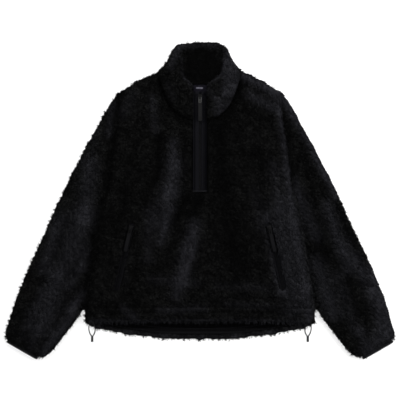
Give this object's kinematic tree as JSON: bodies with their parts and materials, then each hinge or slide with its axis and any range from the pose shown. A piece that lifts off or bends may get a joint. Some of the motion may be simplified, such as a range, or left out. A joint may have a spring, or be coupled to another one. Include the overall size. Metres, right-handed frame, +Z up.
{
  "type": "half-zip fleece jacket",
  "caption": "High-pile fleece pullover jacket with a stand collar, half zip, slanted zip pockets, bound cuffs and hem cords, laid flat on its back.",
  "frame": {"origin": "centre of the footprint, on the surface that the garment lies on", "axes": "+X towards the wearer's left sleeve (right in a front view), +Y from hem to collar, +Z up out of the front"},
  "size_m": [0.8798, 0.7152, 0.0305],
  "materials": {
    "fleece": "matt high-pile knit with clumped, curly pile",
    "binding": "fine ribbed stretch binding",
    "tape": "flat woven tape",
    "coil": "nylon zip coil",
    "metal": "dull grey cast metal",
    "grip": "matt moulded grip",
    "cord": "braided elastic cord",
    "label": "blank woven label"
  },
  "bodies": {
    "garment": {"back_panel": "fleece", "front_panel": "fleece", "collar": "fleece", "sleeve_left": "fleece", "sleeve_right": "fleece", "cuff_binding_left": "binding", "cuff_binding_right": "binding", "back_hem_tape": "tape", "neck_label": "label", "front_zip_tape": "tape", "front_zip_chain": "coil", "front_zip_slider": "metal", "pocket_zip_tape_left": "tape", "pocket_zip_tape_right": "tape", "pocket_zip_chain_left": "coil", "pocket_zip_chain_right": "coil", "pocket_slider_left": "metal", "pocket_slider_right": "metal", "hem_cord_left_a": "cord", "hem_cord_left_b": "cord", "hem_cord_right_a": "cord", "hem_cord_right_b": "cord", "cord_end_left": "grip", "cord_end_right": "grip"},
    "front_pull": {"front_pull_tab": "metal", "front_pull_grip": "grip"},
    "pocket_pull_left": {"pocket_pull_left_tab": "metal", "pocket_pull_left_grip": "grip"},
    "pocket_pull_right": {"pocket_pull_right_tab": "metal", "pocket_pull_right_grip": "grip"}
  },
  "joints": [
    {"name": "front_pull_hinge", "type": "hinge", "parent": "garment", "child": "front_pull", "pos_m": [0, 0.232, 0.019], "axis": [-1, 0, 0], "range_deg": [0, 165]},
    {"name": "pocket_pull_left_hinge", "type": "hinge", "parent": "garment", "child": "pocket_pull_left", "pos_m": [-0.15595, -0.06266, 0.02327], "axis": [-0.9738, 0.2272, 0], "range_deg": [0, 165]},
    {"name": "pocket_pull_right_hinge", "type": "hinge", "parent": "garment", "child": "pocket_pull_right", "pos_m": [0.15595, -0.06266, 0.02327], "axis": [-0.9738, -0.2272, 0], "range_deg": [0, 165]}
  ]
}
